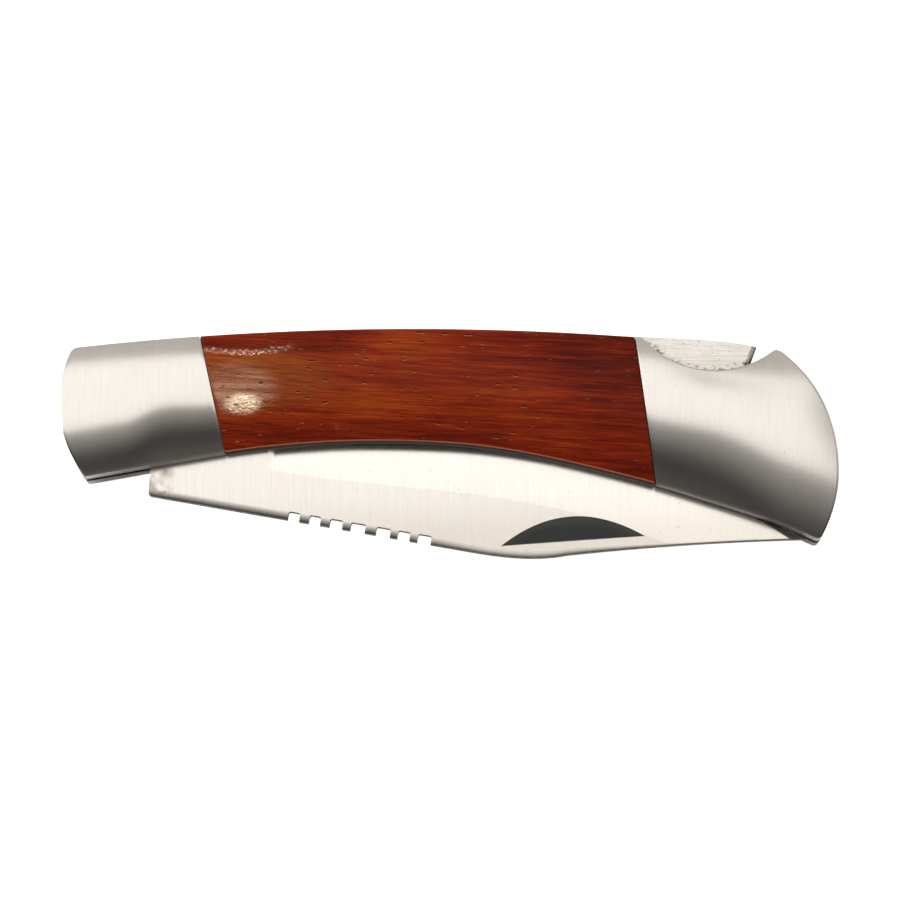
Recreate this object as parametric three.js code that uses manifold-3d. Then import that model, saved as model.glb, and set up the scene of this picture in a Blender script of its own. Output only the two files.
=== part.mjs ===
// A folding pocket knife with wood scales, steel bolsters and a rocking lock bar along its back.
// It is drawn closed, lying on its back side. Lengths are in millimetres and angles in degrees.
// X runs along the handle towards the butt, Y towards its back, Z up through its thickness.
// The origin is on the surface that the knife lies on, straight below the blade's pivot.
// The front half is modelled above the middle plane of the blade and mirrored for the back half.
import * as THREE from "three";
import { mergeVertices } from "three/addons/utils/BufferGeometryUtils.js";
import Module from "manifold-3d";

const wasm = await Module();
wasm.setup();

// Thickness of each layer, counted outwards from the middle of the blade slot
const slotWidth = 2.6;
const linerThickness = 1.0;
const coverWall = 2.9; // upright edge of the bolsters and scales
const crownRise = 1.2; // from that edge to the flat land along the middle
const landShare = 0.28; // the land's half width, as a share of the handle's half height
const crownSteps = 5; // facets from the land to each upright edge
const stationPitch = 2.2; // spacing of the crown's cross-sections
const slabMargin = 0.5; // how far the crowned slab runs past the handle's outline

// The whole handle: its length, and how much of that lies in front of the blade's pivot
const handleLength = 100.1;
const pivotToFrontEnd = 9.1;
const buttX = handleLength - pivotToFrontEnd;

// Distances along the handle, back from the butt end
const buttToThumb = 15.95;
const buttToJoint = 24.73;
const buttToTip = 3.7;
const buttToTail = 10.3;
const buttToRocker = 39.0;
const buttToSpacerFront = 25.8;
const buttToSpacerLip = 14.0;
const buttToLeafRoot = 6.8;
const buttToLeafTip = 31.5;
const buttToUpperPin = 6.0;
const buttToLowerPin = 12.5;

// Distances along the shut blade, back from its tip or on from its heel
const tipToSpineEnd = 43.3;
const tipToHump = 35.9;
const tipToClip = 31.3;
const tipToDip = 14.9;
const tipToNick = 30.4;
const tipToEdgeBend = 15.3;
const tipToGrindEnd = 18.8;
const tipToGrindBend = 37.3;
const heelToEdgeBend = 26.2;
const startToGrindBend = 15.1;

// Handle profile, with the pivot at x 0, y 0: each arc's outermost point, and its radius or fall
const backTop = { x: 36.4, y: 11.2 };
const backFall = 3.88; // from the back's highest point down to the butt end
const bellyTop = { x: 32.0, y: -3.3 };
const bellyFall = 14.04;
const bellyFlatAngle = 10.0; // slope of the straight edge below the front bolster
const frontEnd = { x: -pivotToFrontEnd, y: 1.7 };
const frontEndRadius = 15.45;
const buttEnd = { x: buttX, y: -6.65 };
const buttEndRadius = 19.05;
const thumbLow = { x: buttX - buttToThumb, y: 5.8 }; // deepest point of the cut-out over the tail
const thumbRadius = 12.25;
const hornRadius = 0.9;
const cornerReach = 0.7; // how far the rounding reaches from the front top and butt bottom corners

// Joints between bolster and scale: where each line crosses y 0, and its lean from upright
const frontJointX = 11.15;
const buttJointX = buttX - buttToJoint;
const frontJointLean = 12.3;
const buttJointLean = 7.9;
const jointGap = 0.08;

// Blade
const bladeThickness = 2.3;
const edgeThickness = 0.3;
const openingAngle = 170;
const shoulder = { x: 2.2, y: -9.95 }; // outer corner of the square shoulder on the spine
const shoulderLean = 5.1;
const shoulderReach = 0.7; // how far the rounding reaches from that corner
const tangRadius = 5.7;
const tangRimStart = 58; // where the rim leaves the straight back of the ricasso
const tip = { x: buttX - buttToTip, y: -15.6 };
const spineEnd = { x: tip.x - tipToSpineEnd, y: -17.22 }; // end of the straight stretch of the spine
const spineHump = { x: tip.x - tipToHump, y: -18.55 }; // the hump's control point
const clipStart = { x: tip.x - tipToClip, y: -17.62 };
const clipDip = { x: tip.x - tipToDip, y: -15.85 };
const heel = { x: 18.8, y: 3.0 };
const edgeNearHeel = { x: heel.x + heelToEdgeBend, y: 2.2 }; // control points of the cutting edge's curve
const edgeNearTip = { x: tip.x - tipToEdgeBend, y: -4.5 };
const ricassoTop = { x: 13.5, y: 4.3 };
const grindStart = { x: 17.9, y: -6.85 };
const grindEnd = { x: tip.x - tipToGrindEnd, y: -16.5 }; // here the grind reaches the spine
const grindNearStart = { x: grindStart.x + startToGrindBend, y: -10.2 };
const grindNearEnd = { x: tip.x - tipToGrindBend, y: -8.8 };
const grindOverlap = 0.05; // the cutter reaches this far back over the grind line
const grindPastSpine = 1.0;
const grindSteps = 26;

// File-work notches along the spine
const notchCount = 7;
const notchStart = 20.95; // x of the first notch
const notchPitch = 2.8;
const notchWidth = 1.65;
const notchDepth = 1.1;

// Nail nick: a long arc ground in against a straight wall on the spine's side
const nickMiddle = { x: tip.x - tipToNick, y: -15.87 };
const nickAngle = 4.0;
const nickLength = 18.6;
const nickWidth = 3.2;
const nickDepth = 0.7;
const nickFacet = 1.4;

// Lock bar
const barThickness = 2.3;
const barProud = 0.25; // how far its back stands above the handle's back
const lockDrop = 1.3; // travel of the hook into the notch of the open blade
const hookLength = 2.55;
const hookClearance = 0.15; // between the riding hook and the tang's rim
const barFrontGap = 0.22;
const notchFloorGap = 0.2;
const notchRearGap = 0.3;
const barNeck = 2.6; // depth of the bar over the tang
const barNeckEnd = 4.0;
const barNeckRun = 12.0; // length of the curve from the neck down to full depth
const barDepth = 4.3;
const tailTop = { x: buttX - buttToTail, y: 9.3 };
const tailCurveRun = 10.7; // the last stretch of its back curves down over this length
const tailCurveBend = 4.2; // from the tail to that curve's control point
const tailLean = 20.7;
const tailFloor = 5.0; // y of the bar's underside at its tail
const tailBevel = 0.7;
const rocker = { x: buttX - buttToRocker, y: 8.2 };
const rockerBoss = 3.1;
const bossFrontRun = 12.0; // length of each slope down to the rocker's boss
const bossRearRun = 14.0;

// Butt spacer and leaf spring
const edgeRoom = 1.1; // between the closed blade's edge and the spacer
const spacerFront = { x: buttX - buttToSpacerFront, y: 0.2 };
const spacerLip = { x: buttX - buttToSpacerLip, y: 3.7 };
const tailRoom = 0.7; // between the lock bar's tail and the spacer's wall
const spacerStart = 0.6; // where the spacer's edge starts to follow the blade's edge curve
const spacerSteps = 12;
const leafThickness = 0.8;
const leafWidth = 2.3;
const leafRoot = { x: buttX - buttToLeafRoot, y: 1.9 };
const leafTip = { x: buttX - buttToLeafTip };
const leafFit = 0.1; // round the leaf's root in the spacer
const leafTouch = 0.05; // between the leaf's tip and the bar

// Pins and rivets: the through pins stop under a thin skin of the bolsters
const pivotPinRadius = 2.2;
const rockerPinRadius = 1.5;
const buttPinRadius = 1.2;
const rivetRadius = 0.9;
const rivetDepth = 2.0; // into the bolster
const runningFit = 0.05;
const fixedFit = 0.03;
const pinSides = 32;
const buttPins = {
  upper: { x: buttX - buttToUpperPin, y: -1.6 },
  lower: { x: buttX - buttToLowerPin, y: -4.4 },
};
const bolsterRivets = { upper: { x: 6.6, y: 6.4 }, lower: { x: 7.0, y: -2.2 } };

// The arc that falls by a given amount from its highest point to the butt end
function arcFalling(top, fall) {
  const run = buttX - top.x;
  const r = (run ** 2 + fall ** 2) / (2 * fall);
  return { x: top.x, y: top.y - r, r };
}

const backArc = arcFalling(backTop, backFall);
const bellyArc = arcFalling(bellyTop, bellyFall);
const frontEndArc = { x: frontEnd.x + frontEndRadius, y: frontEnd.y, r: frontEndRadius };
const buttEndArc = { x: buttEnd.x - buttEndRadius, y: buttEnd.y, r: buttEndRadius };
const thumbArc = { x: thumbLow.x, y: thumbLow.y + thumbRadius, r: thumbRadius };
const halfSlot = slotWidth / 2;
const linerTop = halfSlot + linerThickness;
const wallTop = linerTop + coverWall;
const landTop = wallTop + crownRise;
const pinReach = wallTop;
const arcSteps = 22;
const cornerSteps = 4;
const settleRounds = 6; // each round comes about ten times nearer to the crossing
const over = 5; // how far a cutting tool runs past what it cuts
const jointReach = 200; // how far the regions beside a bolster joint run

const rad = THREE.MathUtils.degToRad;
const vec = (p) => new THREE.Vector2(p.x, p.y);

// Solids and booleans

function solidFrom(geometry) {
  geometry.deleteAttribute("normal");
  geometry.deleteAttribute("uv");
  const merged = mergeVertices(geometry, 1e-4);
  return new wasm.Manifold(
    new wasm.Mesh({
      numProp: 3,
      vertProperties: merged.attributes.position.array,
      triVerts: new Uint32Array(merged.index.array),
    }),
  );
}

function geometryFrom(solid) {
  const made = solid.getMesh();
  const geometry = new THREE.BufferGeometry();
  geometry.setAttribute("position", new THREE.BufferAttribute(made.vertProperties, 3));
  geometry.setIndex(new THREE.BufferAttribute(made.triVerts, 1));
  geometry.computeVertexNormals();
  return geometry;
}

// A plan outline raised from one height to another
function plate(shape, low, high) {
  const geometry = new THREE.ExtrudeGeometry(shape, {
    depth: high - low,
    bevelEnabled: false,
    curveSegments: arcSteps,
  });
  return solidFrom(geometry.translate(0, 0, low));
}

function rod(centre, radius, low, high) {
  const geometry = new THREE.CylinderGeometry(radius, radius, high - low, pinSides);
  geometry.rotateX(Math.PI / 2);
  return solidFrom(geometry.translate(centre.x, centre.y, (low + high) / 2));
}

// A closed skin over rings of points, each ring anticlockwise as seen from the last one
function loft(rings) {
  const ring = rings[0].length;
  const index = [];
  for (let i = 0; i + 1 < rings.length; i++)
    for (let j = 0; j < ring; j++) {
      const a = i * ring + j;
      const b = i * ring + ((j + 1) % ring);
      index.push(a, b, a + ring, b, b + ring, a + ring);
    }
  const last = (rings.length - 1) * ring;
  for (let j = 1; j < ring - 1; j++) {
    index.push(0, j + 1, j);
    index.push(last, last + j, last + j + 1);
  }
  const geometry = new THREE.BufferGeometry();
  geometry.setAttribute("position", new THREE.Float32BufferAttribute(rings.flat(2), 3));
  geometry.setIndex(index);
  return solidFrom(geometry);
}

// Radius of a faceted hole that leaves a gap all round a pin that turns in it
const runningHole = (pinRadius) => (pinRadius + runningFit) / Math.cos(Math.PI / pinSides);

function polygon(points) {
  return new THREE.Shape(points.map(vec));
}

// Profile geometry

const upperY = (arc, x) => arc.y + Math.sqrt(arc.r ** 2 - (x - arc.x) ** 2);
const backY = (x) => upperY(backArc, x);

const flatSlope = Math.tan(rad(bellyFlatAngle));
const flatEnd = {
  x: bellyArc.x - bellyArc.r * Math.sin(rad(bellyFlatAngle)),
  y: bellyArc.y + bellyArc.r * Math.cos(rad(bellyFlatAngle)),
};
const flatY = (x) => flatEnd.y + (x - flatEnd.x) * flatSlope;
const bellyY = (x) => (x < flatEnd.x ? flatY(x) : upperY(bellyArc, x));

// The crossing of two circles that lies to the left of the way from a's centre to b's
function crossing(a, b) {
  const dx = b.x - a.x;
  const dy = b.y - a.y;
  const apart = Math.hypot(dx, dy);
  const along = (apart ** 2 + a.r ** 2 - b.r ** 2) / (2 * apart);
  const off = Math.sqrt(a.r ** 2 - along ** 2);
  return {
    x: a.x + (dx * along - dy * off) / apart,
    y: a.y + (dy * along + dx * off) / apart,
  };
}

const angleOn = (arc, p) => Math.atan2(p.y - arc.y, p.x - arc.x);

// Where the straight lower edge runs out through the front end's arc
function flatMeetsFront() {
  const drop = (frontEndArc.y - flatY(frontEndArc.x)) * Math.cos(rad(bellyFlatAngle));
  const reach = Math.sqrt(frontEndArc.r ** 2 - drop ** 2);
  const foot = frontEndArc.x + drop * Math.sin(rad(bellyFlatAngle));
  const x = foot - reach * Math.cos(rad(bellyFlatAngle));
  return { x, y: flatY(x) };
}

function arcTo(path, arc, from, to, clockwise) {
  path.absarc(arc.x, arc.y, arc.r, angleOn(arc, from), angleOn(arc, to), clockwise);
}

// A rounded corner in a few straight steps, from where the path has got to
function roundTo(path, corner, to) {
  const from = path.currentPoint.clone();
  const round = new THREE.QuadraticBezierCurve(from, vec(corner), vec(to));
  for (const point of round.getPoints(cornerSteps).slice(1)) path.lineTo(point.x, point.y);
}

const towards = (from, to, length) => {
  const apart = Math.hypot(to.x - from.x, to.y - from.y);
  return {
    x: from.x + ((to.x - from.x) * length) / apart,
    y: from.y + ((to.y - from.y) * length) / apart,
  };
};

// The horn between the thumb cut-out and the butt end, rounded at its top
const horn = {
  ...crossing(
    { ...thumbArc, r: thumbArc.r + hornRadius },
    { ...buttEndArc, r: buttEndArc.r - hornRadius },
  ),
  r: hornRadius,
};
const hornOut = towards(buttEndArc, horn, buttEndArc.r);
const hornIn = towards(thumbArc, horn, thumbArc.r);
const thumbStart = crossing(backArc, thumbArc);
const frontBottom = flatMeetsFront();
const frontTop = crossing(backArc, frontEndArc);
const buttBottom = crossing(buttEndArc, bellyArc);

// A point on an arc, a given way round it from another point
function alongArc(arc, p, length) {
  const angle = angleOn(arc, p) + length / arc.r;
  return { x: arc.x + arc.r * Math.cos(angle), y: arc.y + arc.r * Math.sin(angle) };
}

function handleOutline() {
  const buttBefore = alongArc(bellyArc, buttBottom, cornerReach);
  const buttAfter = alongArc(buttEndArc, buttBottom, cornerReach);
  const frontBefore = alongArc(backArc, frontTop, -cornerReach);
  const frontAfter = alongArc(frontEndArc, frontTop, cornerReach);
  const shape = new THREE.Shape();
  shape.moveTo(frontBottom.x, frontBottom.y);
  shape.lineTo(flatEnd.x, flatEnd.y);
  arcTo(shape, bellyArc, flatEnd, buttBefore, true);
  roundTo(shape, buttBottom, buttAfter);
  arcTo(shape, buttEndArc, buttAfter, hornOut, false);
  arcTo(shape, horn, hornOut, hornIn, false);
  arcTo(shape, thumbArc, hornIn, thumbStart, true);
  arcTo(shape, backArc, thumbStart, frontBefore, false);
  roundTo(shape, frontTop, frontAfter);
  arcTo(shape, frontEndArc, frontAfter, frontBottom, false);
  return shape;
}

// Handle covers: one crowned slab over the whole handle, cut into bolsters and scale

// Height of the crown at a share of the half height: flat on the land, then falling away
function crownAt(share) {
  const past = Math.max(0, (Math.abs(share) - landShare) / (1 - landShare));
  return landTop - crownRise * past ** 2;
}

// It runs on past both edges, where the handle's outline cuts it
function crownSection(x) {
  const middle = (backY(x) + bellyY(x)) / 2;
  const half = (backY(x) - bellyY(x)) / 2;
  const edgeShare = 1 + slabMargin / half;
  const shares = [edgeShare];
  for (let i = 0; i <= crownSteps; i++)
    shares.push(1 - ((1 - landShare) * i) / crownSteps);
  const mirrored = shares.map((share) => -share).reverse();
  const ridge = [...shares, ...mirrored].map((share) => [x, middle + share * half, crownAt(share)]);
  const low = middle - edgeShare * half;
  const high = middle + edgeShare * half;
  return [[x, low, linerTop], [x, high, linerTop], ...ridge];
}

function crownedSlab() {
  const start = frontEndArc.x - frontEndArc.r - 1;
  const end = buttEndArc.x + buttEndArc.r + 1;
  const stations = Math.round((end - start) / stationPitch);
  const sections = [];
  for (let i = 0; i <= stations; i++)
    sections.push(crownSection(start + ((end - start) * i) / stations));
  return loft(sections);
}

// Everything on one side of a joint line that crosses y 0 at x and leans by an angle
function sideOfJoint(x, lean, towardsButt) {
  const far = towardsButt ? x + jointReach : x - jointReach;
  const at = (y) => x - y * Math.tan(rad(lean));
  return polygon([
    { x: at(-jointReach), y: -jointReach },
    { x: far, y: -jointReach },
    { x: far, y: jointReach },
    { x: at(jointReach), y: jointReach },
  ]);
}

function coverRegion(piece) {
  const outline = plate(handleOutline(), linerTop, landTop + over);
  const keep = (x, lean, towardsButt) =>
    plate(sideOfJoint(x, lean, towardsButt), linerTop - over, landTop + 2 * over);
  const gap = jointGap / 2;
  if (piece === "pivot_bolster") {
    return outline.intersect(keep(frontJointX - gap, frontJointLean, false));
  }
  if (piece === "butt_bolster") {
    return outline.intersect(keep(buttJointX + gap, buttJointLean, true));
  }
  return outline
    .intersect(keep(frontJointX + gap, frontJointLean, true))
    .intersect(keep(buttJointX - gap, buttJointLean, false));
}

const slab = crownedSlab();

function cover(piece) {
  return slab.intersect(coverRegion(piece));
}

function drill(solid, centre, pinRadius, depth) {
  return solid.subtract(rod(centre, pinRadius + fixedFit, -over, depth + fixedFit));
}

function pivotBolster() {
  let solid = drill(cover("pivot_bolster"), { x: 0, y: 0 }, pivotPinRadius, pinReach);
  for (const place of Object.values(bolsterRivets))
    solid = drill(solid, place, rivetRadius, linerTop + rivetDepth);
  return solid;
}

function buttBolster() {
  let solid = cover("butt_bolster");
  for (const place of Object.values(buttPins))
    solid = drill(solid, place, buttPinRadius, pinReach);
  return solid;
}

function liner() {
  let solid = plate(handleOutline(), halfSlot, linerTop);
  solid = drill(solid, { x: 0, y: 0 }, pivotPinRadius, wallTop);
  solid = drill(solid, rocker, rockerPinRadius, wallTop);
  for (const place of Object.values(buttPins)) solid = drill(solid, place, buttPinRadius, wallTop);
  for (const place of Object.values(bolsterRivets)) solid = drill(solid, place, rivetRadius, wallTop);
  return solid;
}

// Blade

const turned = (p, degrees) => {
  const c = Math.cos(rad(degrees));
  const s = Math.sin(rad(degrees));
  return { x: p.x * c - p.y * s, y: p.x * s + p.y * c };
};

// The shoulder and the hook's notch are set out with the blade open, where they meet the bar
const openShoulder = turned(shoulder, -openingAngle);
const openLean = openingAngle + shoulderLean; // direction of the shoulder, from upright
const shoulderX = (y, gap = 0) =>
  openShoulder.x + (y - openShoulder.y) * Math.tan(rad(openLean)) + gap;
const hookFloor = tangRadius + hookClearance;
const notchFloor = hookFloor - lockDrop - notchFloorGap;
const hookRear = shoulderX(hookFloor, barFrontGap) + hookLength;
const notchRear = hookRear + notchRearGap;

function bladeOutline() {
  const rimRear = { x: notchRear, y: Math.sqrt(tangRadius ** 2 - notchRear ** 2) };
  const closed = (x, y) => turned({ x, y }, openingAngle);
  const rearTop = closed(rimRear.x, rimRear.y);
  const rearFloor = closed(notchRear, notchFloor);
  const frontFloor = closed(shoulderX(notchFloor), notchFloor);
  const rimStart = turned({ x: tangRadius, y: 0 }, tangRimStart);
  const rim = { x: 0, y: 0, r: tangRadius };
  const shape = new THREE.Shape();
  const shoulderBefore = towards(shoulder, frontFloor, shoulderReach);
  const shoulderAfter = towards(shoulder, spineEnd, shoulderReach);
  shape.moveTo(shoulderBefore.x, shoulderBefore.y);
  roundTo(shape, shoulder, shoulderAfter);
  shape.lineTo(spineEnd.x, spineEnd.y);
  shape.quadraticCurveTo(spineHump.x, spineHump.y, clipStart.x, clipStart.y);
  shape.quadraticCurveTo(clipDip.x, clipDip.y, tip.x, tip.y);
  shape.bezierCurveTo(
    edgeNearTip.x, edgeNearTip.y, edgeNearHeel.x, edgeNearHeel.y, heel.x, heel.y);
  shape.lineTo(ricassoTop.x, ricassoTop.y);
  shape.lineTo(rimStart.x, rimStart.y);
  arcTo(shape, rim, rimStart, rearTop, false);
  shape.lineTo(rearFloor.x, rearFloor.y);
  shape.lineTo(frontFloor.x, frontFloor.y);
  return shape;
}

const edgeCurve = new THREE.CubicBezierCurve(
  vec(heel), vec(edgeNearHeel), vec(edgeNearTip), vec(tip));
const grindCurve = new THREE.CubicBezierCurve(
  vec(grindStart), vec(grindNearStart), vec(grindNearEnd), vec(grindEnd));

// The waste that the grind takes off one face: a wedge from the grind line past the edge.
// Its last section lies along the spine's clip, and one more stands clear below the spine.
function grindWaste(side) {
  const face = bladeThickness / 2;
  const edge = edgeThickness / 2;
  const rings = [];
  for (let i = 0; i <= grindSteps + 1; i++) {
    const t = Math.min(1, i / grindSteps);
    const line = grindCurve.getPoint(t);
    const low = edgeCurve.getPoint(t);
    const slope = (face - edge) / low.distanceTo(line);
    const across = low.clone().sub(line).normalize();
    const shift = i > grindSteps ? grindPastSpine : 0;
    const back = line.clone().addScaledVector(across, -grindOverlap);
    const far = low.clone().addScaledVector(across, over);
    const ring = [
      [back.x, back.y - shift, face + grindOverlap * slope],
      [far.x, far.y - shift, edge - over * slope],
      [far.x, far.y - shift, face + over],
      [back.x, back.y - shift, face + over],
    ].map(([x, y, z]) => [x, y, z * side]);
    rings.push(side > 0 ? ring : ring.reverse());
  }
  return loft(rings);
}

function spineNotches() {
  const slope = Math.atan2(spineEnd.y - shoulder.y, spineEnd.x - shoulder.x);
  const cuts = [];
  for (let i = 0; i < notchCount; i++) {
    const x = notchStart + i * notchPitch;
    const y = shoulder.y + (x - shoulder.x) * Math.tan(slope);
    const box = new THREE.BoxGeometry(notchWidth, 2 * notchDepth, bladeThickness + over);
    box.rotateZ(slope);
    cuts.push(solidFrom(box.translate(x, y, 0)));
  }
  return cuts;
}

// A cone on its side: its wide end is the nick's straight wall, its flank the sloping floor
function nickTool() {
  const halfLength = nickLength / 2;
  const wide = (halfLength ** 2 + nickDepth ** 2) / (2 * nickDepth);
  const narrow = wide - nickDepth;
  const sides = Math.round((2 * Math.PI * wide) / nickFacet);
  const cone = new THREE.CylinderGeometry(narrow, wide, nickWidth, sides);
  cone.translate(0, nickWidth / 2, bladeThickness / 2 + narrow);
  cone.rotateZ(rad(nickAngle));
  return solidFrom(cone.translate(nickMiddle.x, nickMiddle.y, 0));
}

function blade() {
  const half = bladeThickness / 2;
  let solid = plate(bladeOutline(), -half, half);
  for (const side of [1, -1]) solid = solid.subtract(grindWaste(side));
  for (const notch of spineNotches()) solid = solid.subtract(notch);
  solid = solid.subtract(nickTool());
  // A flat on the rim takes the dropped hook while the blade is shut
  const flat = polygon([
    { x: -tangRadius - over, y: notchFloor },
    { x: notchRear, y: notchFloor },
    { x: notchRear, y: tangRadius + over },
    { x: -tangRadius - over, y: tangRadius + over },
  ]);
  solid = solid.subtract(plate(flat, -half - over, half + over));
  return solid.subtract(rod({ x: 0, y: 0 }, runningHole(pivotPinRadius), -over, over));
}

// Lock bar

const barBack = { ...backArc, r: backArc.r + barProud };
const barTop = (x) => upperY(barBack, x);

// Behind the rocker the bar's back runs on straight, then curves down to the tail
const straightStart = { x: rocker.x, y: barTop(rocker.x) };
const straightSlope = (backArc.x - straightStart.x) / (straightStart.y - barBack.y);
const onStraight = (x) => ({ x, y: straightStart.y + (x - straightStart.x) * straightSlope });
const straightEnd = onStraight(tailTop.x - tailCurveRun);
const tailBend = onStraight(tailTop.x - tailCurveBend);
const tailHeel = {
  x: tailTop.x - (tailTop.y - tailFloor) * Math.tan(rad(tailLean)),
  y: tailFloor,
};

// Where the bar's front end, in line with the open blade's shoulder, runs out through its back
function barFrontTop() {
  let y = openShoulder.y;
  for (let i = 0; i < settleRounds; i++) y = barTop(shoulderX(y, barFrontGap));
  return { x: shoulderX(y, barFrontGap), y };
}

function barOutline() {
  const front = barFrontTop();
  const hookToe = { x: shoulderX(hookFloor, barFrontGap), y: hookFloor };
  const neckY = barTop(0) - barNeck;
  const bodyY = barTop(backArc.x) - barDepth;
  const bossY = rocker.y - rockerBoss;
  const shape = new THREE.Shape();
  shape.moveTo(front.x, front.y);
  shape.lineTo(hookToe.x, hookToe.y);
  shape.lineTo(hookRear, hookFloor);
  shape.lineTo(hookRear, neckY);
  shape.lineTo(barNeckEnd, neckY);
  shape.quadraticCurveTo(barNeckEnd + barNeckRun / 2, bodyY, barNeckEnd + barNeckRun, bodyY);
  shape.lineTo(rocker.x - bossFrontRun, bodyY);
  shape.quadraticCurveTo(rocker.x - bossFrontRun / 2, bossY, rocker.x, bossY);
  shape.quadraticCurveTo(rocker.x + bossRearRun / 2, tailFloor, rocker.x + bossRearRun, tailFloor);
  shape.lineTo(tailHeel.x, tailHeel.y);
  shape.lineTo(tailTop.x, tailTop.y);
  shape.quadraticCurveTo(tailBend.x, tailBend.y, straightEnd.x, straightEnd.y);
  shape.lineTo(straightStart.x, straightStart.y);
  arcTo(shape, barBack, straightStart, front, false);
  return shape;
}

function lockBar() {
  const half = barThickness / 2;
  let solid = plate(barOutline(), -half, half);
  // The tail's end is bevelled on both faces
  const lean = Math.atan2(tailTop.x - tailHeel.x, tailTop.y - tailHeel.y);
  for (const side of [1, -1]) {
    const size = tailBevel * Math.SQRT2;
    const cutter = new THREE.BoxGeometry(size, 4 * over, size);
    cutter.rotateY(Math.PI / 4);
    cutter.rotateZ(-lean);
    solid = solid.subtract(solidFrom(cutter.translate(tailHeel.x, tailHeel.y, side * half)));
  }
  return solid.subtract(rod(rocker, runningHole(rockerPinRadius), -over, over));
}

// Butt spacer and leaf spring

// A point beside the shut blade's edge, with room left between
function besideEdge(t) {
  const tangent = edgeCurve.getTangent(t);
  const away = new THREE.Vector2(-tangent.y, tangent.x);
  return edgeCurve.getPoint(t).add(away.multiplyScalar(edgeRoom));
}

// The handle's own outline trims this one at the butt end, the back and the belly
function spacerOutline() {
  const wallX = tailTop.x + tailRoom;
  const top = backTop.y + over;
  const rear = buttEnd.x + over;
  const shape = new THREE.Shape();
  const first = besideEdge(spacerStart);
  shape.moveTo(first.x, first.y);
  for (let i = 1; i <= spacerSteps; i++) {
    const point = besideEdge(spacerStart + ((1 - spacerStart) * i) / spacerSteps);
    shape.lineTo(point.x, point.y);
  }
  shape.lineTo(rear, tip.y);
  shape.lineTo(rear, top);
  shape.lineTo(wallX, top);
  shape.lineTo(wallX, spacerLip.y);
  shape.lineTo(spacerLip.x, spacerLip.y);
  shape.lineTo(spacerLip.x, spacerFront.y);
  shape.lineTo(spacerFront.x, spacerFront.y);
  return shape;
}

function buttSpacer() {
  const inside = plate(handleOutline(), -halfSlot, halfSlot);
  let solid = inside.intersect(plate(spacerOutline(), -over, over));
  const slotHalf = leafThickness / 2 + leafFit;
  const slot = polygon([
    { x: spacerLip.x - over, y: leafRoot.y - slotHalf },
    { x: leafRoot.x + leafFit, y: leafRoot.y - slotHalf },
    { x: leafRoot.x + leafFit, y: leafRoot.y + slotHalf },
    { x: spacerLip.x - over, y: leafRoot.y + slotHalf },
  ]);
  solid = solid.subtract(plate(slot, -over, over));
  for (const place of Object.values(buttPins))
    solid = solid.subtract(rod(place, buttPinRadius + fixedFit, -over, over));
  return solid;
}

function leafSpring() {
  const half = leafThickness / 2;
  const rise = tailFloor - leafTouch - half;
  const bend = spacerLip.x - leafFit;
  const quarter = (bend - leafTip.x) / 3;
  const shape = new THREE.Shape();
  shape.moveTo(leafRoot.x, leafRoot.y - half);
  shape.lineTo(leafRoot.x, leafRoot.y + half);
  shape.lineTo(bend, leafRoot.y + half);
  shape.bezierCurveTo(
    bend - quarter, leafRoot.y + half, leafTip.x + quarter, rise + half, leafTip.x, rise + half);
  shape.lineTo(leafTip.x, rise - half);
  shape.bezierCurveTo(
    leafTip.x + quarter, rise - half, bend - quarter, leafRoot.y - half, bend, leafRoot.y - half);
  return plate(shape, -leafWidth / 2, leafWidth / 2);
}

// Materials

function finish(color, roughness, metalness) {
  return new THREE.MeshStandardMaterial({ color, roughness, metalness });
}

const satinSteel = () => finish(0xd8d6d0, 0.32, 1);
const bladeSteel = () => finish(0xe6e3dc, 0.28, 1);
const linerSteel = () => finish(0xb4b3af, 0.4, 1);
const pinSteel = () => finish(0xaaa8a2, 0.45, 1);
const springSteel = () => finish(0x8d8f92, 0.4, 1);
const redWood = () => finish(0x7a2a12, 0.3, 0);

// Assembly

const handleHeight = landTop; // the blade's middle plane above the resting face

function mesh(name, solid, material) {
  const made = new THREE.Mesh(geometryFrom(solid), material);
  made.name = name;
  return made;
}

function handleHalf(side) {
  const half = new THREE.Group();
  half.add(mesh(side + "_liner", liner(), linerSteel()));
  half.add(mesh(side + "_pivot_bolster", pivotBolster(), satinSteel()));
  half.add(mesh(side + "_scale", cover("scale"), redWood()));
  half.add(mesh(side + "_butt_bolster", buttBolster(), satinSteel()));
  for (const [place, centre] of Object.entries(bolsterRivets)) {
    const rivet = rod(centre, rivetRadius, halfSlot, linerTop + rivetDepth);
    half.add(mesh(side + "_bolster_rivet_" + place, rivet, pinSteel()));
  }
  return half;
}

const knife = new THREE.Group();
const layers = new THREE.Group();
layers.position.z = handleHeight;
knife.add(layers);

layers.add(handleHalf("front"));
const backHalf = handleHalf("back");
backHalf.scale.z = -1;
layers.add(backHalf);

layers.add(mesh("blade", blade(), bladeSteel()));
layers.add(mesh("lock_bar", lockBar(), bladeSteel()));
layers.add(mesh("butt_spacer", buttSpacer(), linerSteel()));
layers.add(mesh("lock_spring", leafSpring(), springSteel()));
layers.add(mesh("pivot_pin", rod({ x: 0, y: 0 }, pivotPinRadius, -pinReach, pinReach), pinSteel()));
layers.add(mesh("rocker_pin", rod(rocker, rockerPinRadius, -linerTop, linerTop), pinSteel()));
for (const [place, centre] of Object.entries(buttPins)) {
  layers.add(mesh("butt_pin_" + place, rod(centre, buttPinRadius, -pinReach, pinReach), pinSteel()));
}

export default knife;
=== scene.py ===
import math

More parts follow.
